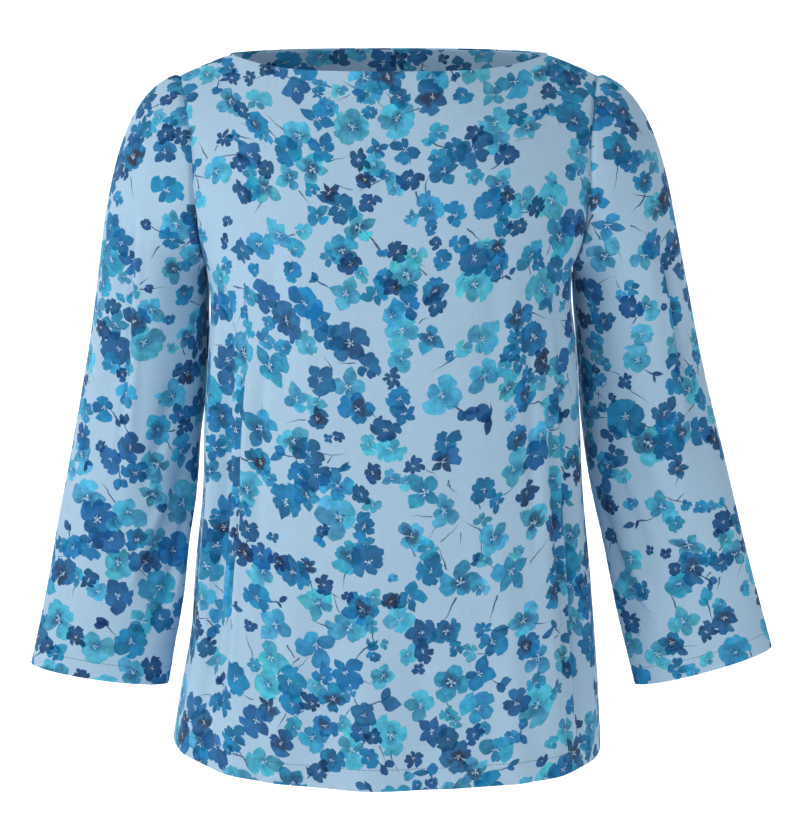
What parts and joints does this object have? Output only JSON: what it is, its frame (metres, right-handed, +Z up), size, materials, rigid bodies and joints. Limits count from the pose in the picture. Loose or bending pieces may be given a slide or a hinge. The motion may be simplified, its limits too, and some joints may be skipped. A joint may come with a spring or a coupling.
{
  "type": "blouse",
  "caption": "Light woven boat-neck blouse with set-in three-quarter sleeves and a straight hem, hollow as worn, printed with blue watercolour flowers.",
  "frame": {"origin": "midway between the two neck points, where the shoulder seams meet the neckline and the wearer's shoulders carry the blouse", "axes": "+Z up, the front faces -Y, +X towards the wearer's left"},
  "size_m": [0.6834, 0.2557, 0.6404],
  "materials": {
    "printed_cotton": "matt plain-weave cotton, sky blue with turquoise and dark blue flowers",
    "facing_cotton": "the same printed cotton, inside the neck"
  },
  "bodies": {
    "root": {"front": "printed_cotton", "back": "printed_cotton", "sleeve_left": "printed_cotton", "sleeve_right": "printed_cotton", "back_neck_facing": "facing_cotton"}
  },
  "joints": []
}
